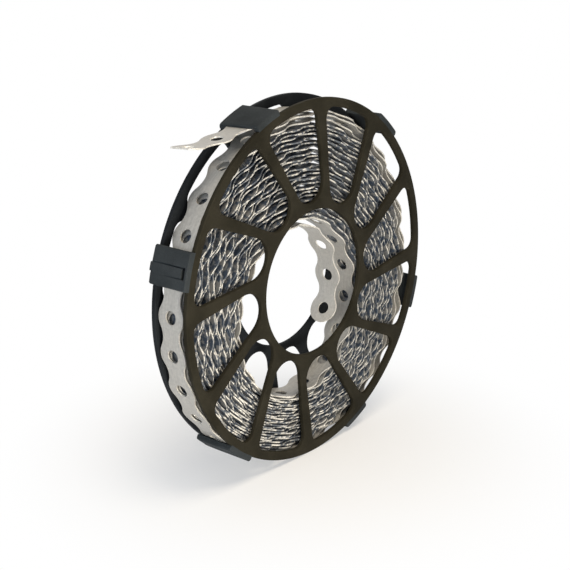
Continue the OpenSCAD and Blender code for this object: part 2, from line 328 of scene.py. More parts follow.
def coil_points(u):
    """The coil at u turns from its outer end.

    From turn to turn the strap moves in by its own thickness and a share of the free space, which
    is wide at the top, where the coil has sagged away, and narrow at the bottom. A random drift of
    less than a share makes neighbours part and close up without crossing. Ripples that the turns
    share are added near the top: a sine of the angle under a bell curve. The outermost turn is then
    drawn out to the clips, by a flat-topped bell curve of the angle.
    """
    angle = COIL_FROM - 360 * u
    free = outline_r(angle) - opening_r(angle) - STRAP_T * TURNS_END
    ease = np.clip(u / DRIFT_EASE, 0, 1) * np.clip((TURNS_END - DRIFT_STOP - u) / DRIFT_EASE, 0, 1)
    size, place, width = SPRUNG
    share = (u + drift(u, DRIFTS) * ease + size * bell(u - place, width)) / TURNS_END
    height, number, middle, width = RIPPLE
    first, full, less, last = RIPPLE_TURNS
    inside = smoothstep(u, first, full) * (1 - smoothstep(u, TURNS_END - less, TURNS_END - last))
    away = turned(angle, middle)
    ripple = height * inside * bell(away, width) * np.sin(np.radians(number * away))
    points = COIL_C + polar(outline_r(angle) - STRAP_T * u - free * share + ripple, angle)
    far, middle, width = PRESSED
    r = np.hypot(*points.T)
    pressed = bell(turned(angle, middle), width, 4) * (1 - smoothstep(u, *PRESSED_TURNS))
    return points * (1 + pressed * (far - r) / r)[:, None]


def turtle(start, heading, stretches):
    """Points along stretches of [length, turn in degrees], each a straight or an arc.

    The heading changes evenly along a stretch, and the points are the running sum of short steps.
    """
    headings = [np.array([heading])]
    steps = [np.zeros(1)]
    for length, turn in stretches:
        n = max(2, int(round(length / SAMPLE)))
        headings.append(headings[-1][-1] + turn * (np.arange(n) + 1) / n)
        steps.append(np.full(n, length / n))
    h, d = np.concatenate(headings), np.concatenate(steps)
    middle = np.concatenate([h[:1], (h[1:] + h[:-1]) / 2])
    return start + np.cumsum(polar(d, middle), axis=0)


def outer_tail(start, heading):
    """The free outer end: an arc up to the hood's mouth, a bend that dips a little and a last
    stretch that curls up again to the tip."""
    mouth = polar(COVER_R + HOOD_ROOM - STRAP_T / 2 - TAIL_ROOM,
                  HOOD_ANGLE + BRIDGE_ARC / 2 - MOUTH_SKEW / 2)
    chord = mouth - start
    climb = turned(angle_of(chord), heading)
    reach = float(np.hypot(*chord))
    length = math.radians(2 * climb) * reach / (2 * math.sin(math.radians(climb)))
    return turtle(start, heading, [[length, 2 * climb],
                                   [TAIL_BEND, TAIL_DIP - heading - 2 * climb],
                                   [PITCH + TIP_TO_HOLE, TAIL_TIP - TAIL_DIP]])


def strap_path():
    """The strap's middle line from the tip of the outer tail to its inner end.

    Returns the running length s of its samples, the samples (x, z), and the places along it of
    the last hole and of the point where the coil begins. The innermost turn eases over onto a
    tighter arc, which is the inner tail.
    """
    u = np.arange(0, TURNS_END, SAMPLE / MEAN_TURN)
    free = smoothstep(u, TURNS_END - (INNER_TAIL_FROM - INNER_TAIL_END) / 360,
                      TURNS_END - (INNER_TAIL_FREE - INNER_TAIL_END) / 360)[:, None]
    opens = INNER_TAIL_OPENS * smoothstep(u, TURNS_END - INNER_TAIL_LAST, TURNS_END)
    inner = INNER_TAIL_C + polar(INNER_TAIL_R + opens, COIL_FROM - 360 * u)
    coil = coil_points(u) * (1 - free) + inner * free
    last = INNER_TAIL_C + polar(INNER_TAIL_R + INNER_TAIL_OPENS, INNER_TAIL_END - INNER_TAIL_PAST)
    tail = outer_tail(coil[0], angle_of(coil[0] - coil[1]))
    points = np.concatenate([tail[:0:-1], coil, last])
    s = np.concatenate([[0], np.cumsum(np.hypot(*np.diff(points, axis=0).T))])
    return s, points, s[len(s) - len(last)], s[len(tail) - 1]


# ---- Strap: one lobe, repeated ----

LOBE_R = STRAP_W / 2
HALF_PITCH = PITCH / 2
WAIST_R = (HALF_PITCH ** 2 + WAIST_W ** 2 / 4 - LOBE_R ** 2) / (2 * LOBE_R - WAIST_W)
WAIST_Y = WAIST_W / 2 + WAIST_R
TANGENT_ANGLE = math.degrees(math.atan2(WAIST_Y, HALF_PITCH))


def lobe_side(lobe_steps, waist_steps):
    """Upper outline of a lobe from its right waist to its left one: a concave arc, the lobe's own
    arc and a concave arc, each run into the next without a kink."""
    centre = np.array([HALF_PITCH, WAIST_Y])
    dip = TANGENT_ANGLE + 180 + (270 - TANGENT_ANGLE - 180) * np.linspace(1, 0, waist_steps + 1)
    right = centre + polar(WAIST_R, dip)
    crown = polar(LOBE_R, np.linspace(TANGENT_ANGLE, 180 - TANGENT_ANGLE, lobe_steps + 1))
    left = right[::-1] * [-1, 1]
    return np.concatenate([right, crown[1:-1], left])


def lobe_template(lobe_steps, waist_steps, cut_steps, rings, round_end=False, left=HALF_PITCH):
    """One lobe of flat strap as rings of points from the hole's edge out to the outline.

    Returns points (n, 2), the number of points round and the number of rings. With round_end the
    right cut is the lobe's own half round instead of a waist. left is the distance from the hole's
    middle to the left cut, which is a waist or lies nearer, across the lobe.
    """
    side = lobe_side(lobe_steps, waist_steps)
    if left < LOBE_R:
        side = np.concatenate([side[side[:, 0] > -left + CUT_MARGIN],
                               [[-left, math.sqrt(LOBE_R ** 2 - left ** 2)]]])
    half_cut = np.linspace(0, 1, cut_steps + 1)[:-1, None]
    if round_end:
        crown = polar(LOBE_R, np.linspace(0, 90, cut_steps + len(side) // 2 + 1))
        upper = np.concatenate([crown, side[len(side) // 2 + 1:]])
    else:
        upper = np.concatenate([half_cut * side[0] + (1 - half_cut) * [HALF_PITCH, 0], side])
    left_cut = half_cut[1:] * [-left, 0] + (1 - half_cut[1:]) * side[-1]
    upper = np.concatenate([upper, left_cut, [[-left, 0]]])
    outline = np.concatenate([upper, upper[-2:0:-1] * [1, -1]])
    n = len(outline)
    hole = polar(HOLE_R, 360 * np.arange(n) / n)
    t = (np.linspace(0, 1, rings + 1) ** RING_SPREAD)[:, None, None]
    return (hole * (1 - t) + outline * t).reshape(-1, 2), n, rings + 1


def strap_mesh(path):
    """Tiles the lobe templates along the path, bends them to it and closes the sheet's edges.

    A point of the flat strap is (place, across, side): its place counted in lobes from the first
    hole, its distance across, and which face it lies on. It goes to the path at place, half a
    thickness out on its side, and across becomes y. Each turn lies a little nearer one cover than
    the next, and leans a little. Two levels of detail are used: the turns that lie open to view have
    rounder lobes. Returns the vertices, the faces, a 0 for each face of the sheet or a 1 for each of
    its cut edges, and the flat places as UV.
    """
    s, points, end_s, coil_s = path
    # the pitch is set so that a whole number of lobes fits between the two ends' last holes
    lobes = int(round((end_s - TIP_TO_HOLE) / PITCH)) + 1
    step = (end_s - TIP_TO_HOLE - TURN_SHIFT - PRESSED_SHIFT) / (lobes - 1)
    hole_s = TIP_TO_HOLE + step * np.arange(lobes)
    open_turns = (hole_s < coil_s + OPEN_OUTSIDE) | (hole_s > end_s - OPEN_INSIDE)
    between = np.arange(1, lobes - 1)
    runs = ((lobe_template(*FINE_LOBE, left=TIP_TO_HOLE), np.array([0])),
            (lobe_template(*FINE_LOBE), between[open_turns[1:-1]]),
            (lobe_template(*PLAIN_LOBE), between[~open_turns[1:-1]]),
            (lobe_template(*FINE_LOBE, round_end=True), np.array([lobes - 1])))
    sheets, faces, kinds, base = [], [], [], 0
    for (flat, n, rings), cells in runs:
        m = len(flat)
        place = cells[:, None] + flat[None, :, 0] / PITCH
        across = np.broadcast_to(flat[None, :, 1], place.shape)
        both = np.stack([place, across], -1)[:, None].repeat(2, 1).reshape(-1, 2)
        side = np.tile(np.repeat([1.0, -1.0], m), len(cells))
        sheets.append(np.column_stack([both, side]))
        top = grid_quads(rings, n, close_cols=True)
        here, on = np.arange(n), np.roll(np.arange(n), -1)
        last = (rings - 1) * n
        hole_wall = np.stack([here, here + m, on + m, on], -1)
        edge_wall = np.stack([here, on, on + m, here + m], -1) + last
        # no wall across a waist, where the next lobe carries on
        middle = (flat[last + here] + flat[last + on]) / 2
        edge_wall = edge_wall[np.abs(np.abs(middle[:, 0]) - HALF_PITCH) > 1e-6]
        cell = np.concatenate([top, top[:, ::-1] + m, hole_wall, edge_wall])
        kind = np.repeat([0, 1], [2 * len(top), len(hole_wall) + len(edge_wall)])
        starts = base + 2 * m * np.arange(len(cells))
        faces.append((cell[None] + starts[:, None, None]).reshape(-1, 4))
        kinds.append(np.tile(kind, len(cells)))
        base += 2 * m * len(cells)
    flat, (faces,) = welded(np.concatenate(sheets), [np.concatenate(faces)])
    kinds = np.concatenate(kinds)
    place, across, side = flat.T
    along = (TIP_TO_HOLE + step * place + TURN_SHIFT * smoothstep(place, 0, SHIFT_LOBES)
             + PRESSED_SHIFT * smoothstep(place, *PRESSED_LOBES))
    heading = np.gradient(points, s, axis=0)
    heading /= np.linalg.norm(heading, axis=1)[:, None]
    x, z = np.interp(along, s, points[:, 0]), np.interp(along, s, points[:, 1])
    hx, hz = np.interp(along, s, heading[:, 0]), np.interp(along, s, heading[:, 1])
    turn = along / MEAN_TURN
    loose = smoothstep(along, coil_s, coil_s + MEAN_TURN)
    sway = TAIL_SHIFT * (1 - loose) + loose * drift(turn, SWAYS)
    slope, distance, seed = LEAN
    lean = slope * loose * wander(turn, distance, seed)
    lean = lean + TAIL_TWIST * (1 - smoothstep(along, 0, TAIL_TWIST_OVER))
    # the strap runs clockwise, so its outer face is to the left of its heading
    offset = side * STRAP_T / 2 + lean * across
    verts = np.stack([x - hz * offset, across + sway, z + hx * offset], -1)
    return verts, faces[:, ::-1], kinds, np.column_stack([place, across / PITCH])


# ---- Covers ----

def flank(k, side):
    """Unit normal, offset and direction of a spoke's flank. side is 1 for its anticlockwise one."""
    angle = SPOKE_TURN + k * SPOKE_STEP
    out, across = polar(1.0, angle), polar(1.0, angle + 90)
    point = STATION_IN * out + (side * SPOKE_W_IN / 2 - SPOKE_LEAN) * across
    normal = side * polar(1.0, angle + side * SPOKE_FLARE + 90)
    return normal, float(normal @ point), polar(1.0, angle + side * SPOKE_FLARE)


def nest(k, r):
    """Centre of the circle of radius r that touches both flanks of window k."""
    n1, c1, _ = flank(k, 1)
    n2, c2, _ = flank(k + 1, -1)
    return np.linalg.solve([n1, n2], [c1 + r, c2 + r])


def arch_radius():
    """Radius of the arch at a window's hub end, found by halving: it touches the hub ring."""
    low, high = ARCH_SEARCH
    for _ in range(HALVINGS):
        mid = (low + high) / 2
        if np.linalg.norm(nest(0, mid)) - mid > HUB_HOLE_R + HUB_RING_W:
            high = mid
        else:
            low = mid
    return low


ARCH_R = arch_radius()
AXIS = np.zeros(2)


def arc(centre, r, a0, a1, n):
    """n + 1 points on a circle from angle a0 to a1."""
    return centre + polar(r, np.linspace(a0, a1, n + 1))


def short_way(a, b):
    """b moved by whole turns to lie within half a turn of a."""
    return b + 360 * round((a - b) / 360)


def window_loop(k, inset=0.0):
    """Outline of window k, anticlockwise from the hub end of its clockwise flank: a flank, a
    corner, the rim, a corner, a flank and the arch at the hub. inset moves it into the plastic."""
    rim_r = COVER_R - RIM_W + inset
    corner_r = WINDOW_CORNER_R + inset
    corners, normals = [], []
    for kk, side in ((k, 1), (k + 1, -1)):
        n, c, d = flank(kk, side)
        c += WINDOW_CORNER_R
        reach = math.sqrt((COVER_R - RIM_W - WINDOW_CORNER_R) ** 2 - c * c)
        corners.append(c * n + reach * d)
        normals.append(n)
    hub = nest(k, ARCH_R)
    arch_r = ARCH_R + inset
    first = hub - arch_r * normals[0], corners[0] - corner_r * normals[0]
    last = corners[1] - corner_r * normals[1], hub - arch_r * normals[1]
    u = np.linspace(0, 1, STEPS["flank"] + 1)[:, None]
    a0, a1 = angle_of(-normals[0]), angle_of(corners[0])
    b0, b1 = angle_of(corners[1]), angle_of(-normals[1])
    h0, h1 = angle_of(-normals[1]), angle_of(-normals[0])
    parts = [
        first[0] * (1 - u) + first[1] * u,
        arc(corners[0], corner_r, a0, short_way(a0, a1), STEPS["corner"]),
        arc(AXIS, rim_r, a1, short_way(a1, b0), STEPS["rim"]),
        arc(corners[1], corner_r, b0, short_way(b0, b1), STEPS["corner"]),
        last[0] * (1 - u) + last[1] * u,
        arc(hub, arch_r, h0, short_way(h0, h1), STEPS["arch"]),
    ]
    return np.concatenate([p[:-1] for p in parts])


def spoke_line_at(k, r):
    """Point of spoke k's centre line at radius r."""
    angle = SPOKE_TURN + k * SPOKE_STEP
    return polar(math.sqrt(r * r - SPOKE_LEAN ** 2), angle) - SPOKE_LEAN * polar(1.0, angle + 90)


def cell_loop(k):
    """The share of the cover round window k, point for point with window_loop: half of each
    spoke beside it, the rim outside it and the hub ring inside it."""
    r_out, r_in = COVER_R - EDGE_ROUND, HUB_HOLE_R + EDGE_ROUND
    half = STEPS["corner"] // 2
    n_line = STEPS["flank"] + half
    u = np.linspace(0, 1, n_line + 1)[:, None]
    starts = [spoke_line_at(k, r_in), spoke_line_at(k + 1, r_in)]
    ends = [spoke_line_at(k, r_out), spoke_line_at(k + 1, r_out)]
    e0, e1 = angle_of(ends[0]), angle_of(ends[1])
    s0, s1 = angle_of(starts[1]), angle_of(starts[0])
    parts = [
        starts[0] * (1 - u) + ends[0] * u,
        arc(AXIS, r_out, e0, short_way(e0, e1), STEPS["rim"] + 2 * half),
        ends[1] * (1 - u) + starts[1] * u,
        arc(AXIS, r_in, s0, short_way(s0, s1), STEPS["arch"]),
    ]
    return np.concatenate([p[:-1] for p in parts])


def rounded_wall(y0, y1):
    """(inset, y) pairs up a wall from y0 to y1, with a quarter round at both edges."""
    t = np.radians(np.linspace(0, 90, EDGE_STEPS + 1))
    inset = EDGE_ROUND * (1 - np.sin(t))
    drop = EDGE_ROUND * (1 - np.cos(t))
    lower = np.column_stack([inset, y0 + drop])
    upper = np.column_stack([inset, y1 - drop])[::-1]
    return np.concatenate([lower, upper])


def turned_ring(line, r, grow, profile):
    """Sweeps an (inset, y) profile round the axis at radius r, through the angles of the points of
    line. grow is 1 where an inset makes the radius larger, and -1 where it makes it smaller."""
    order = np.argsort(np.arctan2(line[:, 1], line[:, 0]))
    unit = line[order] / np.linalg.norm(line[order], axis=1)[:, None]
    rings = [np.column_stack([unit[:, 0] * (r + grow * inset), np.full(len(unit), y),
                              unit[:, 1] * (r + grow * inset)]) for inset, y in profile]
    quads = grid_quads(len(profile), len(unit), close_cols=True)
    return np.concatenate(rings), quads[:, ::-1] if grow < 0 else quads


def cover_mesh(y0, y1):
    """A spoked cover from the plane y0 up to the plane y1.

    Each window has a sheet of quads from its cell's edge to its own edge on both faces, and a
    rounded wall, which is the window's outline swept along a profile. Two turned profiles close
    the rim and the hub hole.
    """
    profile = rounded_wall(y0, y1)
    n = len(window_loop(0))
    t = np.array([0, 0.5, 1])[:, None, None]
    parts = []
    for k in range(SPOKES):
        sheet = cell_loop(k) * (1 - t) + window_loop(k, EDGE_ROUND) * t
        wall = np.array([window_loop(k, inset) for inset, _ in profile])
        for rows, y in ((sheet, np.full(len(t), y0)), (wall, profile[:, 1]),
                        (sheet[::-1], np.full(len(t), y1))):
            xz = rows.reshape(-1, 2)
            parts.append((np.column_stack([xz[:, 0], np.repeat(y, n), xz[:, 1]]),
                          grid_quads(len(rows), n, close_cols=True)))
    cells = [cell_loop(k) for k in range(SPOKES)]
    n_line = STEPS["flank"] + STEPS["corner"] // 2
    n_rim = STEPS["rim"] + 2 * (STEPS["corner"] // 2)
    rim = np.concatenate([c[n_line:n_line + n_rim] for c in cells])
    hub = np.concatenate([c[2 * n_line + n_rim:] for c in cells])
    parts.append(turned_ring(rim, COVER_R, -1, profile))
    parts.append(turned_ring(hub, HUB_HOLE_R, 1, profile))
    starts = np.cumsum([0] + [len(verts) for verts, _ in parts])
    quads = np.concatenate([faces + start for (_, faces), start in zip(parts, starts)])
    verts, (quads,) = welded(np.concatenate([verts for verts, _ in parts]), [quads], COVER_WELD)
    return verts, quads


# ---- Bridges: the hood and the clips ----

def stations(low, high, rounding, extra=(), spacing=1.0):
    """Stations from low to high: close together over the rounded ends, at each extra place, and
    about spacing apart elsewhere."""
    ends = rounding * (1 - np.cos(np.radians(np.linspace(0, 90, EDGE_STEPS + 1))))
    inner = np.arange(low + rounding, high - rounding, spacing)
    return np.unique(np.round(np.concatenate([low + ends, inner, high - ends, list(extra)]), 4))


def bent_block(a, y, top, bottom):
    """A block bent round the reel's axis: a height field top(angle, y) over bottom(y), closed by
    walls along its four sides. a is in degrees, one value a row or one a point, and y in
    millimetres."""
    aa = a if np.ndim(a) == 2 else np.repeat(a[:, None], len(y), axis=1)
    yy = np.broadcast_to(y, aa.shape)
    rows, cols = aa.shape
    layers = []
    for r in (top, np.broadcast_to(bottom, aa.shape)):
        xz = polar(1.0, aa) * r[..., None]
        layers.append(np.stack([xz[..., 0], yy, xz[..., 1]], -1).reshape(-1, 3))
    n = rows * cols
    upper = grid_quads(rows, cols)
    ring = np.concatenate([np.arange(cols), cols * np.arange(1, rows) + cols - 1,
                           n - 2 - np.arange(cols - 1), cols * np.arange(rows - 2, 0, -1)])
    nxt = np.roll(ring, -1)
    wall = np.stack([ring, nxt, nxt + n, ring + n], -1)[:, ::-1]
    faces = np.concatenate([upper, upper[:, ::-1] + n, wall])
    return np.concatenate(layers), faces


def rounded_top(a, y, r, a_round, y_round):
    """Radius field of a plain top whose four edges fall away in quarter rounds."""
    aa, yy = np.meshgrid(a, y, indexing="ij")
    arc_mm = math.pi / 180 * r
    d_a = np.minimum(aa - a[0], a[-1] - aa) * arc_mm
    d_y = np.minimum(yy - y[0], y[-1] - yy)
    fall = 0
    for d, e in ((d_a, a_round), (d_y, y_round)):
        fall = fall + e - np.sqrt(np.clip(e * e - np.clip(e - d, 0, e) ** 2, 0, None))
    return r - fall, aa, yy


def bridge_floor(y):
    """Underside of a bridge: just above the rear cover's rim, and into the front cover's rim."""
    return np.where(y < -INNER_Y, COVER_R - EDGE_ROUND, COVER_R + SEAT_GAP)


def rise(y, height, start, end):
    """Grows from 0 to height as y goes from start to end."""
    return height * smoothstep(y, start, end)


def hood_mesh():
    """The hood over the strap's outlet: a hollow rounded block across both rims, whose lip at the
    mouth is rounder and slants back towards the front."""
    half = BRIDGE_ARC / 2
    a = stations(HOOD_ANGLE - half, HOOD_ANGLE + half, MOUTH_ROUND * DEGREES_PER_MM,
                 spacing=HOOD_SPACING)
    y = stations(-FACE_Y, FACE_Y, FACE_ROUND,
                 extra=(-INNER_Y, -INNER_Y + STEP_RUN, INNER_Y - STEP_RUN, INNER_Y))
    lip = np.where(a > HOOD_ANGLE, MOUTH_ROUND, HOOD_ROUND)[:, None]
    top, aa, yy = rounded_top(a, y, BRIDGE_R, lip, FACE_ROUND)
    under_roof = (y > -INNER_Y) & (y < INNER_Y)
    floor = np.minimum(np.where(under_roof, COVER_R + HOOD_ROOM, bridge_floor(y)), top - LIP_LEAST)
    slant = MOUTH_SKEW * (FACE_Y - yy) / (2 * FACE_Y) * (aa - a[0]) / (a[-1] - a[0])
    return bent_block(aa - slant, y, top, floor)


def clip_mesh(angle):
    """A snap clip: a block with a tongue freed by two slits, a dark socket at the tongue's root
    and a lower half that stands a little prouder towards the rear."""
    half = BRIDGE_ARC / 2
    t0, t1 = TONGUE
    y0, y1 = SOCKET
    edges = (t0 - SLIT_ARC, t0 - SLIT_ARC + SLIT_RUN, t0 - SLIT_RUN, t0,
             t1, t1 + SLIT_RUN, t1 + SLIT_ARC - SLIT_RUN, t1 + SLIT_ARC)
    a = stations(-half, half, CLIP_ROUND * DEGREES_PER_MM, edges, CLIP_SPACING[0]) + angle
    y = stations(-FACE_Y, FACE_Y, FACE_ROUND, spacing=CLIP_SPACING[1],
                 extra=(-INNER_Y, -INNER_Y + STEP_RUN, y0, y0 + SOCKET_RUN, y1, y1 + SOCKET_RUN))
    top, aa, yy = rounded_top(a, y, BRIDGE_R, CLIP_ROUND, FACE_ROUND)
    from_middle = aa - angle

    def between(low, high):
        """Where the field lies between two angles, less half of each sloping wall."""
        return (from_middle > low + SLIT_RUN / 2) & (from_middle < high - SLIT_RUN / 2)

    first_slit = between(t0 - SLIT_ARC, t0) & (yy > y1)
    second_slit = between(t1, t1 + SLIT_ARC) & (yy > y1) & (yy < SECOND_SLIT_END)
    in_socket = (yy > y0 + SOCKET_RUN / 2) & (yy < y1 + SOCKET_RUN / 2)
    socket = between(t0 - SLIT_ARC, t1 + SLIT_ARC) & in_socket
    proud = rise(yy, *LOWER_RISE) * smoothstep(from_middle, t1, t1 + LOWER_EASE)
    tongue = between(t0, t1) * rise(yy, *TONGUE_RISE)
    top = top + (proud + tongue) * (top > BRIDGE_R - FLAT_TOP)
    top = np.where(first_slit, BRIDGE_R - FIRST_SLIT_DEPTH - rise(yy, *FIRST_SLIT_RISE), top)
    top = np.where(second_slit, BRIDGE_R - SECOND_SLIT_DEPTH - rise(yy, *SECOND_SLIT_RISE), top)
    top = np.where(socket, BRIDGE_R - SOCKET_DEPTH, top)
    return bent_block(a, y, np.minimum(top, BRIDGE_R - CLIP_TOP_GAP), bridge_floor(y))


def hook_mesh(angle):
    """The tip of a clip's tongue, which laps over the rear cover's rim."""
    t0, t1 = TONGUE
    y0, y1 = HOOK_ENDS
    a = stations(angle + t0, angle + t1, HOOK_ROUND * DEGREES_PER_MM, spacing=HOOK_SPACING)
    y = stations(FACE_Y + y0, FACE_Y + y1, HOOK_ROUND, spacing=HOOK_SPACING)
    top, _, _ = rounded_top(a, y, BRIDGE_R - HOOK_DROP, HOOK_ROUND, HOOK_ROUND)
    floor = np.where(y < FACE_Y + HOOK_SEAT, COVER_R + SEAT_GAP, COVER_R - HOOK_LAP)
    return bent_block(a, y, top, floor)


# ---- Materials ----

# Noises: scale to the metre, detail and roughness
SHADE_NOISE = (60, 3, 0.5)
GRAIN_NOISE = (1500, 3, 0.6)
RUB_NOISE = (180, 4, 0.7)
SPANGLE_NOISE = (700, 3, 0.6)
PATCH_NOISE = (330, 3, 0.6)
ROLLING_NOISE = (1.0, 2, 0.5)      # on the flat strap, stretched along it
ROLLING_STRETCH = (1.5, 60, 1)
NOISE_SPAN = (0.3, 0.7)            # within which most of a noise lies
SHADE_SPAN = (0.35, 0.65)
SPECK_SHADES = (0.88, 1.1)         # by what the grain multiplies the shade
SPANGLE_SPAN = (0.75, 1.25)        # of spangle and rolling lines together
PATCH_SPAN = (0.45, 0.55)
PLASTIC_SPECULAR = 0.03
PLASTIC_RUB = (-0.07, 0.08)        # by what the rub marks change the roughness
PLASTIC_BUMP = (0.35, 0.00006)     # strength and height in metres
ZINC_RUB = (-0.08, 0.08)
ZINC_BUMP = (0.25, 0.00004)


def material(name, base, roughness, metallic=0.0, specular=0.5):
    """A Principled material; returns it with its node tree and shader."""
    mat = bpy.data.materials.new(name)
    mat.use_nodes = True
    shader = mat.node_tree.nodes["Principled BSDF"]
    shader.inputs["Base Color"].default_value = (*base, 1)
    shader.inputs["Roughness"].default_value = roughness
    shader.inputs["Metallic"].default_value = metallic
    shader.inputs["Specular IOR Level"].default_value = specular
    return mat, mat.node_tree, shader


def feed(tree, target, inputs):
    """Sets inputs of a node, each to a value or as a link from a socket."""
    for key, value in inputs.items():
        if isinstance(value, bpy.types.NodeSocket):
            tree.links.new(value, target.inputs[key])
        else:
            target.inputs[key].default_value = value


def node(tree, kind, inputs, output=0, **settings):
    """Adds a node, with settings as its attributes, and returns one of its output sockets."""
    made = tree.nodes.new(kind)
    for key, value in settings.items():
        setattr(made, key, value)
    feed(tree, made, inputs)
    return made.outputs[output]


def noise(tree, coords, scale, detail, rough):
    """Value of a noise texture."""
    return node(tree, "ShaderNodeTexNoise", {"Vector": coords, "Scale": scale, "Detail": detail,
                                             "Roughness": rough}, "Fac")


def fit(tree, value, low, high, to_low=0.0, to_high=1.0, **settings):
    """Maps a value from low..high to to_low..to_high."""
    return node(tree, "ShaderNodeMapRange", {"Value": value, "From Min": low, "From Max": high,
                                             "To Min": to_low, "To Max": to_high}, **settings)


def maths(tree, operation, first, second):
    """Result of a Math node on two values."""
    return node(tree, "ShaderNodeMath", {0: first, 1: second}, operation=operation)


def blend(tree, factor, first, second, blend_type="MIX"):
    """Mixes two colours, each a socket or three numbers."""
    first, second = (c if isinstance(c, bpy.types.NodeSocket) else (*c, 1) for c in (first, second))
    return node(tree, "ShaderNodeMix", {"Factor": factor, 6: first, 7: second}, 2,
                data_type="RGBA", blend_type=blend_type)


def bump(tree, height, strength, distance):
    """Normal of a bump."""
    return node(tree, "ShaderNodeBump", {"Height": height, "Strength": strength,
                                         "Distance": distance})


def object_coords(tree):
    """The place on the object, in metres."""
    return node(tree, "ShaderNodeTexCoord", {}, "Object")


def moulded_plastic(name, dark, light, roughness):
    """Black moulded plastic: a slow change of shade, a fine eroded grain and faint rub marks."""
    mat, tree, shader = material(name, dark, roughness, specular=PLASTIC_SPECULAR)
    at = object_coords(tree)
    shade = blend(tree, fit(tree, noise(tree, at, *SHADE_NOISE), *SHADE_SPAN), dark, light)
    grain = noise(tree, at, *GRAIN_NOISE)
    dull, bright = ([grey] * 3 for grey in SPECK_SHADES)
    speck = blend(tree, fit(tree, grain, *NOISE_SPAN), dull, bright)
    rub = fit(tree, noise(tree, at, *RUB_NOISE), *NOISE_SPAN, *(roughness + d for d in PLASTIC_RUB))
    feed(tree, shader, {"Base Color": blend(tree, 1.0, shade, speck, "MULTIPLY"), "Roughness": rub,
                        "Normal": bump(tree, grain, *PLASTIC_BUMP)})
    return mat


def zinc(name, dark, light, roughness, metallic, painted_coil_shade, patchy):
    """Galvanised strip: small mottled spangle, fine rolling lines along the strap and soft gloss.

    Where the strap lies wound up inside the coil it is darker and duller: the shade between its
    turns is painted in, as the colour given after metallic, which takes over past the two outermost
    turns and ends a turn and a half before the inner end. It lies in patches a few millimetres wide,
    and patchy is its share between them.
    """
    mat, tree, shader = material(name, light, roughness, metallic)
    at = object_coords(tree)
    uv = node(tree, "ShaderNodeUVMap", {}, uv_map="UVMap")
    lines = node(tree, "ShaderNodeMapping", {"Vector": uv, "Scale": ROLLING_STRETCH})
    spangle = noise(tree, at, *SPANGLE_NOISE)
    both = maths(tree, "ADD", spangle, noise(tree, lines, *ROLLING_NOISE))
    bare = blend(tree, fit(tree, both, *SPANGLE_SPAN), dark, light)
    place = node(tree, "ShaderNodeSeparateXYZ", {0: uv})
    past, short = (fit(tree, place, lobe, lobe + fade) for lobe, fade in zip(OPEN_LOBES, OPEN_FADES))
    wound = maths(tree, "MULTIPLY", past, short)
    patches = fit(tree, noise(tree, at, *PATCH_NOISE), *PATCH_SPAN, patchy)
    # painted shade between the wound turns: the strap is darker and bluer where it lies inside the
    # coil
    shade = blend(tree, maths(tree, "MULTIPLY", wound, patches), bare, painted_coil_shade)
    gloss = fit(tree, spangle, *NOISE_SPAN, *(roughness + d for d in ZINC_RUB))
    feed(tree, shader, {"Base Color": shade, "Roughness": gloss,
                        "Metallic": fit(tree, wound, 0, 1, metallic, metallic / 2),
                        "Normal": bump(tree, both, *ZINC_BUMP)})
    return mat


# Its brown tint is painted warm light from the front.
front_plastic_painted_warm_light = moulded_plastic("front_cover_plastic_painted_warm_light", (0.019, 0.0175, 0.0125),
                              (0.030, 0.0275, 0.020), 0.6)
# The bridges are moulded in one with the front cover: this lighter, bluer copy of its plastic is
# painted cool light from the left.
bridge_painted_cool_light = moulded_plastic("bridge_plastic_painted_cool_light", (0.029, 0.034, 0.038),
                               (0.042, 0.049, 0.055), 0.55)
# A darker, bluer copy of the same plastic: painted shade and painted cool light from the left.
rear_painted_shade = moulded_plastic("rear_cover_plastic_painted_shade", (0.013, 0.015, 0.018),
                             (0.020, 0.023, 0.027), 0.55)
# The colour given after metallic is the painted shade between the wound turns.
zinc_face = zinc("zinc_sheet", (0.36, 0.355, 0.34), (0.50, 0.49, 0.465), 0.46, 0.45,
                 (0.055, 0.078, 0.12), 0.5)
# The cut edges are lighter and warmer than the sheet: painted highlight.
zinc_edge_painted_highlight = zinc("zinc_cut_edge_painted_highlight", (0.56, 0.55, 0.525), (0.80, 0.785, 0.745), 0.4, 0.1,
                 (0.10, 0.115, 0.14), 0.0)


# ---- The pieces ----

PLASTIC_SHARP = 50            # edges of the mouldings sharper than this stay sharp


def add_strap():
    """The whole strap as one piece, its sheet and its cut edges with a material each."""
    verts, faces, kinds, uv = strap_mesh(strap_path())
    strap = make_mesh("coiled_strap", verts, [faces], uv=uv, index=kinds)
    strap.data.materials.append(zinc_face)
    strap.data.materials.append(zinc_edge_painted_highlight)
    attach(strap, "root")
    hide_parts("perforated_strap")


def add_plastic(name, verts, faces, mat, slot, replaced=()):
    """One moulded piece."""
    piece = make_mesh(name, verts, [faces], sharp_angle=PLASTIC_SHARP)
    piece.data.materials.append(mat)
    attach(piece, "root")
    if replaced:
        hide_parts(*replaced)


add_strap()
add_plastic("front_cover_plate", *cover_mesh(-FACE_Y, -INNER_Y), front_plastic_painted_warm_light, "front_cover",
            ["front_cover"])
add_plastic("rear_cover_plate", *cover_mesh(INNER_Y, FACE_Y), rear_painted_shade, "rear_cover",
            ["rear_cover"])
add_plastic("outlet_hood", *hood_mesh(), bridge_painted_cool_light, "front_cover")
for number, angle in enumerate(CLIP_ANGLES, 1):
    add_plastic(f"snap_clip_{number}", *clip_mesh(angle), bridge_painted_cool_light, "front_cover")
    add_plastic(f"clip_hook_{number}", *hook_mesh(angle), bridge_painted_cool_light, "front_cover")


# ---- Camera, floor and light, in metres ----

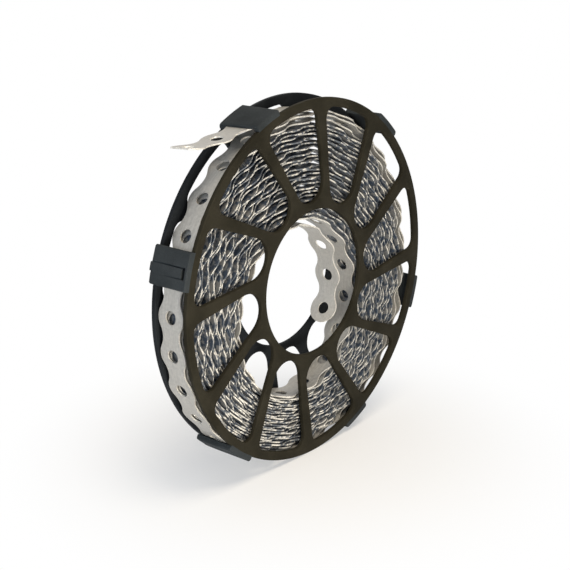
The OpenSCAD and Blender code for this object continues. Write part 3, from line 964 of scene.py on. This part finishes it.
CAMERA_AZIMUTH = -50.847
CAMERA_ELEVATION = 17.43
CAMERA_ROLL = 0.255
CAMERA_DISTANCE = 0.675
CAMERA_SENSOR = 36
CAMERA_LENS = 77.615
CAMERA_SHIFT = (-0.0229, -0.01277)
CAMERA_CLIP = (0.01, 50)
FLOOR_R = 3.0
FLOOR_RINGS = 24
FLOOR_SECTORS = 48
FLOOR_WELD = 1e-3
FLOOR_COLOUR = (0.94, 0.96, 1.0)
FLOOR_FADE = (0.03, 0.2)           # distances between which it fades to white
WORLD_COLOUR = (0.88, 0.94, 1.0)
WORLD_STRENGTH = 0.18
WHITE = {"Color": (1, 1, 1, 1), "Strength": 1.0}
LAMPS = (                          # name, place, size, power and colour
    ("top_light", (-0.1, -0.36, 1.15), 0.5, 10.5, (1.0, 0.86, 0.66)),
    ("left_light", (-1.2, 0.0, 0.2), 0.8, 4.4, (0.79, 0.89, 1.0)),
    ("front_light", (-0.24, -0.36, -0.05), 0.1, 1.3, (1.0, 0.92, 0.78)),
)


def add_camera():
    """Camera that looks at the reel's centre, from its left and a little above."""
    azimuth, elevation = math.radians(CAMERA_AZIMUTH), math.radians(CAMERA_ELEVATION)
    back = np.array([math.sin(azimuth) * math.cos(elevation),
                     -math.cos(azimuth) * math.cos(elevation), math.sin(elevation)])
    data = bpy.data.cameras.new("camera")
    data.sensor_width = CAMERA_SENSOR
    data.lens = CAMERA_LENS
    data.shift_x, data.shift_y = CAMERA_SHIFT
    data.clip_start, data.clip_end = CAMERA_CLIP
    cam = bpy.data.objects.new("camera", data)
    bpy.context.scene.collection.objects.link(cam)
    cam.location = Vector(back * CAMERA_DISTANCE)
    cam.rotation_mode = "QUATERNION"
    level = Vector(-back).to_track_quat("-Z", "Y")
    cam.rotation_quaternion = level @ Quaternion((0, 0, 1), math.radians(CAMERA_ROLL))
    bpy.context.scene.camera = cam


def seen(tree):
    """1 where a ray from the camera arrives, straight on, in a gloss or through a clear body."""
    rays = tree.nodes.new("ShaderNodeLightPath").outputs
    first = maths(tree, "MAXIMUM", rays["Is Camera Ray"], rays["Is Glossy Ray"])
    return maths(tree, "MAXIMUM", first, rays["Is Transmission Ray"])


def white_where(tree, amount, plain, kind, end):
    """Mixes a shader of kind, all white, over the plain one, and joins it to the output end."""
    white = node(tree, kind, WHITE)
    feed(tree, tree.nodes[end], {"Surface": node(tree, "ShaderNodeMixShader",
                                                 {0: amount, 1: plain.outputs[0], 2: white})})


def add_floor():
    """A wide pale floor at the reel's lowest point, which fades to the white round it.

    It is a disc of rings, whose radii grow with the square of their number, round a fan.
    """
    steps = np.arange(1, FLOOR_RINGS + 1) / FLOOR_RINGS
    r = np.concatenate([[0.0], FLOOR_R * steps ** 2])
    xy = r[:, None, None] * polar(1.0, 360 * np.arange(FLOOR_SECTORS) / FLOOR_SECTORS)
    verts = np.column_stack([xy.reshape(-1, 2), np.full(xy[..., 0].size, cad_low.z)]) / MM
    verts, (quads,) = welded(verts, [grid_quads(len(r), FLOOR_SECTORS, close_cols=True)], FLOOR_WELD)
    out = np.hypot(verts[:, 0], verts[:, 1])
    ring = np.argsort(out)[1:FLOOR_SECTORS + 1]
    ring = ring[np.argsort(np.arctan2(verts[ring, 1], verts[ring, 0]))]
    fan = np.stack([np.full(len(ring), np.argmin(out)), ring, np.roll(ring, -1)], -1)
    floor = make_mesh("floor", verts, [quads[:, ::-1], fan])
    mat, tree, shader = material("pale_floor", FLOOR_COLOUR, 0.7, specular=0.1)
    far = node(tree, "ShaderNodeVectorMath", {0: object_coords(tree)}, "Value", operation="LENGTH")
    fade = fit(tree, far, *FLOOR_FADE, interpolation_type="SMOOTHSTEP")
    amount = maths(tree, "MULTIPLY", fade, seen(tree))
    white_where(tree, amount, shader, "ShaderNodeEmission", "Material Output")
    floor.data.materials.append(mat)


def add_world():
    """White where it is seen, straight on or in a gloss, and plain soft light otherwise."""
    world = bpy.data.worlds.new("studio")
    world.use_nodes = True
    tree = world.node_tree
    back = tree.nodes["Background"]
    feed(tree, back, {"Color": (*WORLD_COLOUR, 1), "Strength": WORLD_STRENGTH})
    white_where(tree, seen(tree), back, "ShaderNodeBackground", "World Output")
    bpy.context.scene.world = world


def add_lamp(name, place, size, power, colour):
    """A square soft box at place, turned towards the reel."""
    data = bpy.data.lights.new(name, "AREA")
    data.size = size
    data.energy = power
    data.color = colour
    lamp = bpy.data.objects.new(name, data)
    bpy.context.scene.collection.objects.link(lamp)
    lamp.location = place
    lamp.rotation_mode = "QUATERNION"
    lamp.rotation_quaternion = (-Vector(place)).to_track_quat("-Z", "Y")


add_camera()
add_floor()
add_world()
for lamp in LAMPS:
    add_lamp(*lamp)
bpy.context.scene.view_settings.view_transform = "Standard"
